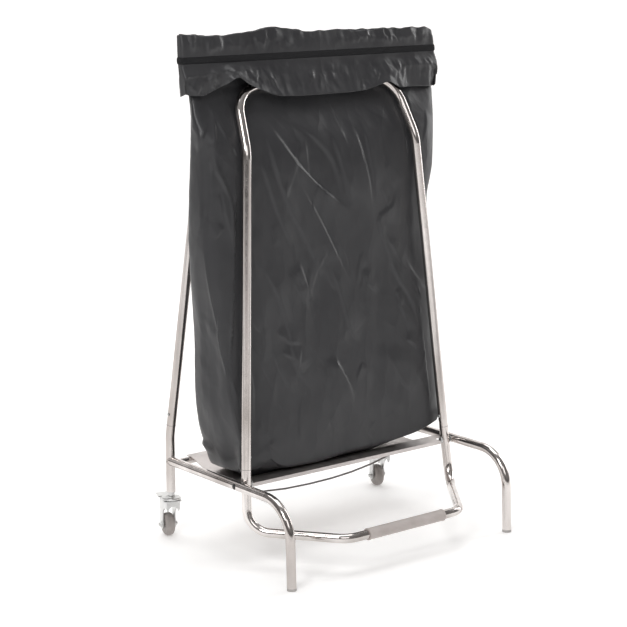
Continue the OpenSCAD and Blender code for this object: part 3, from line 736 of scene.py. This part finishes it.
def bead(name, line, closed=True, radius=BEAD_R):
    """A weld bead of overlapping ripples along a line of points in mm."""
    line = np.asarray(line, float)
    count = len(line)
    if closed:
        ahead, behind = np.roll(line, -1, 0), np.roll(line, 1, 0)
    else:
        ahead, behind = np.vstack([line[1:], line[-1:]]), np.vstack([line[:1], line[:-1]])
    tangent = ahead - behind
    tangent /= np.linalg.norm(tangent, axis=1, keepdims=True) + 1e-9
    guide = np.where(np.abs(tangent[:, 2:]) < 0.9, [[0, 0, 1.0]], [[1.0, 0, 0]])
    across = np.cross(tangent, guide)
    across /= np.linalg.norm(across, axis=1, keepdims=True) + 1e-9
    up = np.cross(across, tangent)
    run = np.cumsum(np.linalg.norm(line - np.vstack([line[:1], line[:-1]]), axis=1))
    swell = radius * (0.86 + 0.22 * np.abs(np.sin(run * math.pi / RIPPLE)))
    if not closed:
        swell = swell * np.sqrt(np.clip(np.minimum(run, run[-1] - run) / 2.0, 0.02, 1))
    turn = np.linspace(0, 2 * math.pi, BEAD_SIDES, endpoint=False)
    rings = [line[i] + swell[i] * (np.outer(np.cos(turn), across[i]) + np.outer(np.sin(turn), up[i]))
             for i in range(count)]
    points = np.concatenate(rings) * MM
    faces = grid_faces(count, BEAD_SIDES, True)
    if closed:
        faces += [((count - 1) * BEAD_SIDES + c, (count - 1) * BEAD_SIDES + (c + 1) % BEAD_SIDES,
                   (c + 1) % BEAD_SIDES, c) for c in range(BEAD_SIDES)]
    else:
        faces += [tuple(range(BEAD_SIDES))[::-1],
                  tuple((count - 1) * BEAD_SIDES + c for c in range(BEAD_SIDES))]
    piece = piece_from(name, points, faces)
    paint(piece, "stainless")
    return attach(piece, "root")


def weld_all():
    """Weld beads where tubes and bars meet, placed from the CAD boxes."""
    turn = np.linspace(0, 2 * math.pi, 96, endpoint=False)
    bar_low, bar_high = box_mm("rear_cross_bar")
    bar_r = (bar_high[2] - bar_low[2]) / 2
    bar_z = (bar_high[2] + bar_low[2]) / 2
    front_high = box_mm("front_cross_bar")[1]
    tab = np.linspace(front_high[1] - TAB_WELD, front_high[1] - 1, 40)
    for side, sign in SIDES:
        low, high = box_mm(side + "_side_tube")
        leg_high = box_mm(side + "_rear_leg")[1]
        tube_x = (low[0] + high[0]) / 2
        tube_z = high[2] - TUBE_R
        leg_y = leg_high[1] - TUBE_R
        # The side tube butts against the leg: equal tubes meet on two half ellipses
        bead(side + "_leg_weld", np.stack([tube_x + TUBE_R * np.cos(turn),
                                          leg_y - TUBE_R * np.abs(np.sin(turn)),
                                          tube_z + TUBE_R * np.sin(turn)], 1))
        # The rear cross bar ends on the side of a thicker tube
        inset = np.sqrt(TUBE_R ** 2 - (bar_r * np.cos(turn)) ** 2)
        bead(side + "_bar_weld", np.stack([tube_x - sign * inset, leg_y + bar_r * np.cos(turn),
                                          bar_z + bar_r * np.sin(turn)], 1))
        # The front cross bar's tab has a straight bead along the tube
        bead(side + "_tab_weld", np.stack([np.full_like(tab, tube_x - sign * (TUBE_R + 0.3)), tab,
                                          np.full_like(tab, front_high[2] + 0.3)], 1),
             closed=False, radius=1.0)


def pivot_plugs():
    """A dark domed plug in the outer hole of each pivot."""
    turn = np.linspace(0, 2 * math.pi, 28, endpoint=False)
    for side, sign in SIDES:
        low, high = box_mm(side + "_pivot_pin")
        outer = low[0] if side == "left" else high[0]
        y = (low[1] + high[1]) / 2
        z = (low[2] + high[2]) / 2
        points = [((outer + sign * depth) * MM, (y + r * math.cos(a)) * MM, (z + r * math.sin(a)) * MM)
                  for depth, r in PLUG_PROFILE for a in turn]
        faces = grid_faces(len(PLUG_PROFILE), len(turn), True)
        faces.append(tuple(range(len(turn)))[::-1])
        faces.append(tuple((len(PLUG_PROFILE) - 1) * len(turn) + c for c in range(len(turn))))
        plug = piece_from(side + "_pivot_plug", points, faces)
        plug.data.materials.append(materials["plug"])
        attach(plug, "root")


def joint_rings():
    """Hairline joints where the lower tubes plug into the arches."""
    turn = np.linspace(0, 2 * math.pi, 64, endpoint=False)
    circle = np.stack([np.cos(turn), np.sin(turn)], 1) * (TUBE_R + 0.02)
    for side, sign in SIDES:
        for end, (x, y, z), (lean_x, lean_y), body in PLUG_JOINTS:
            slope = -(lean_x * circle[:, 0] + lean_y * circle[:, 1])
            line = np.stack([sign * (x + circle[:, 0]), y + circle[:, 1], z + slope], 1)
            ring = bead(side + "_" + end + "_joint", line, radius=0.28)
            ring.data.materials[0] = materials["plug"]
            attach(ring, body)


weld_all()
joint_rings()
pivot_plugs()


# ---------------------------------------------------------------- stage, light and camera

FLOOR_HALF = 16.0
BEND_START, BEND_R, WALL_TOP = 3.0, 1.5, 6.0


def smooth_range(tree, value, low, high, start, end):
    """A number that goes smoothly from start to end as value goes from low to high."""
    node = tree.nodes.new("ShaderNodeMapRange")
    node.interpolation_type = "SMOOTHSTEP"
    node.inputs["From Min"].default_value = low
    node.inputs["From Max"].default_value = high
    node.inputs["To Min"].default_value = start
    node.inputs["To Max"].default_value = end
    tree.links.new(value, node.inputs["Value"])
    return node.outputs["Result"]


def combine(tree, operation, first, second):
    """The result of a maths operation on two numbers of a node tree."""
    node = tree.nodes.new("ShaderNodeMath")
    node.operation = operation
    tree.links.new(first, node.inputs[0])
    tree.links.new(second, node.inputs[1])
    return node.outputs["Value"]


def floor_material():
    """One pale colour, with a painted glow, as the floor is no lamp. The glow is weaker close
    around the object, a painted shade pool, and leaves soft shadows under the object.

    The glow fades out in front of the object, a painted dark band so that the tubes have
    something to mirror, and comes back farther off.
    """
    material, tree, shader = new_material("studio_floor")
    coord = tree.nodes.new("ShaderNodeTexCoord")
    ahead = tree.nodes.new("ShaderNodeVectorMath")
    ahead.operation = "DOT_PRODUCT"
    ahead.inputs[1].default_value = (math.sin(VIEW_TURN), math.cos(VIEW_TURN), 0)
    tree.links.new(coord.outputs["Object"], ahead.inputs[0])
    distance = tree.nodes.new("ShaderNodeVectorMath")
    distance.operation = "LENGTH"
    tree.links.new(coord.outputs["Object"], distance.inputs[0])
    depth = ahead.outputs["Value"]
    # Painted dark band: no glow between these depths in front of the object, for the tubes to mirror
    near = smooth_range(tree, depth, -1.3, -0.6, 0, 1)
    far = smooth_range(tree, depth, -3.6, -1.7, 1, 0)
    # Painted shade pool: the glow is weaker close around the object, and painted light adds more glow
    # farther off in front
    around = smooth_range(tree, distance.outputs["Value"], 0.3, 0.95, 0.24, 0.36)
    beyond = smooth_range(tree, depth, -3.2, -2.1, 0.35, 0)
    painted_glow_mask = combine(tree, "MAXIMUM", near, far)
    strength = combine(tree, "ADD", around, beyond)
    # The floor glows though it is no lamp: painted light
    tree.links.new(combine(tree, "MULTIPLY", strength, painted_glow_mask), shader.inputs["Emission Strength"])
    shader.inputs["Base Color"].default_value = (0.92, 0.915, 0.91, 1)
    shader.inputs["Roughness"].default_value = 0.85
    shader.inputs["Specular IOR Level"].default_value = 0.1
    shader.inputs["Emission Color"].default_value = (1.0, 0.995, 0.985, 1)
    return material


def pale_floor():
    """A plain floor that curves up into a backdrop behind the object."""
    across = np.linspace(-FLOOR_HALF, FLOOR_HALF, 9)
    profile = [(-FLOOR_HALF, 0.0), (BEND_START, 0.0)]
    for angle in np.linspace(0, math.pi / 2, 12)[1:]:
        profile.append((BEND_START + BEND_R * math.sin(angle), BEND_R * (1 - math.cos(angle))))
    profile.append((BEND_START + BEND_R, WALL_TOP))
    points = [(x, y, z) for y, z in profile for x in across]
    floor = piece_from("studio_floor", points, grid_faces(len(profile), len(across), False))
    # The backdrop faces the camera
    for vertex in floor.data.vertices:
        x, y, z = vertex.co
        vertex.co = (x * math.cos(VIEW_TURN) + y * math.sin(VIEW_TURN),
                     y * math.cos(VIEW_TURN) - x * math.sin(VIEW_TURN), z)
    floor.data.materials.append(floor_material())


# Softboxes: name, place, size and power
SOFTBOXES = (("key_softbox", (-3.2, -1.6, 3.0), (1.3, 1.6), 58),
             ("front_softbox", (-1.7, -3.5, 2.5), (2.2, 1.6), 20),
             ("right_strip", (3.2, -0.4, 1.6), (0.5, 2.4), 22))
# The broad light over the object, a little behind it
TOP_SOFTBOX = ("top_softbox", (0.2, 0.8, 4.2), (3.4, 3.4), 88)
MIDDLE_HEIGHT, LOW_HEIGHT = 0.5, 0.3


def area_light(name, place, size, power, aim_height):
    """A rectangular softbox at place, facing the object's axis at a height."""
    light = bpy.data.lights.new(name, "AREA")
    light.shape = "RECTANGLE"
    light.size, light.size_y = size
    light.energy = power
    lamp = bpy.data.objects.new(name, light)
    lamp.location = place
    facing = Vector((0, 0, aim_height)) - Vector(place)
    lamp.rotation_euler = facing.to_track_quat("-Z", "Y").to_euler()
    scene.collection.objects.link(lamp)


# Brightness of the surround by height, from 0 below to 1 above, with the horizon at 0.5
WORLD_STOPS = ((0.42, 0.40), (0.45, 2.2), (0.505, 2.2), (0.525, 0.28), (0.56, 0.30),
               (0.64, 0.75), (0.75, 0.5))


def studio_world():
    """A soft grey surround with darker and lighter bands, for streaks on the metal."""
    world = bpy.data.worlds.new("studio")
    scene.world = world
    world.use_nodes = True
    tree = world.node_tree
    tree.nodes.clear()
    output = tree.nodes.new("ShaderNodeOutputWorld")
    background = tree.nodes.new("ShaderNodeBackground")
    coord = tree.nodes.new("ShaderNodeTexCoord")
    split = tree.nodes.new("ShaderNodeSeparateXYZ")
    tree.links.new(coord.outputs["Generated"], split.inputs["Vector"])
    heights = tree.nodes.new("ShaderNodeValToRGB")
    band = heights.color_ramp
    band.elements[0].position = 0.0
    band.elements[0].color = (0.55, 0.52, 0.50, 1)
    band.elements[1].position = 1.0
    band.elements[1].color = (1, 1, 1, 1)
    for position, level in WORLD_STOPS:
        stop = band.elements.new(position)
        stop.color = (level, level * 0.96, level * 0.94, 1)
    height = tree.nodes.new("ShaderNodeMath")
    height.operation = "MULTIPLY_ADD"
    height.inputs[1].default_value = 0.5
    height.inputs[2].default_value = 0.5
    tree.links.new(split.outputs["Z"], height.inputs[0])
    tree.links.new(height.outputs["Value"], heights.inputs["Fac"])
    tree.links.new(heights.outputs["Color"], background.inputs["Color"])
    background.inputs["Strength"].default_value = 0.36
    tree.links.new(background.outputs["Background"], output.inputs["Surface"])


CAMERA_PLACE = (-2.2786, -2.7782, 1.184)
CAMERA_FACING = (0.6132, 0.7636, -0.2025)
LENS, SENSOR_WIDTH = 109.0, 36.0


def camera():
    """A long lens at the front left, a little higher than the object."""
    data = bpy.data.cameras.new("camera")
    data.lens = LENS
    data.sensor_width = SENSOR_WIDTH
    data.clip_end = 60
    eye = bpy.data.objects.new("camera", data)
    eye.location = CAMERA_PLACE
    eye.rotation_euler = Vector(CAMERA_FACING).to_track_quat("-Z", "Y").to_euler()
    scene.collection.objects.link(eye)
    scene.camera = eye


pale_floor()
for softbox in SOFTBOXES:
    area_light(*softbox, MIDDLE_HEIGHT)
area_light(*TOP_SOFTBOX, LOW_HEIGHT)
studio_world()
camera()
scene.view_settings.view_transform = "Standard"
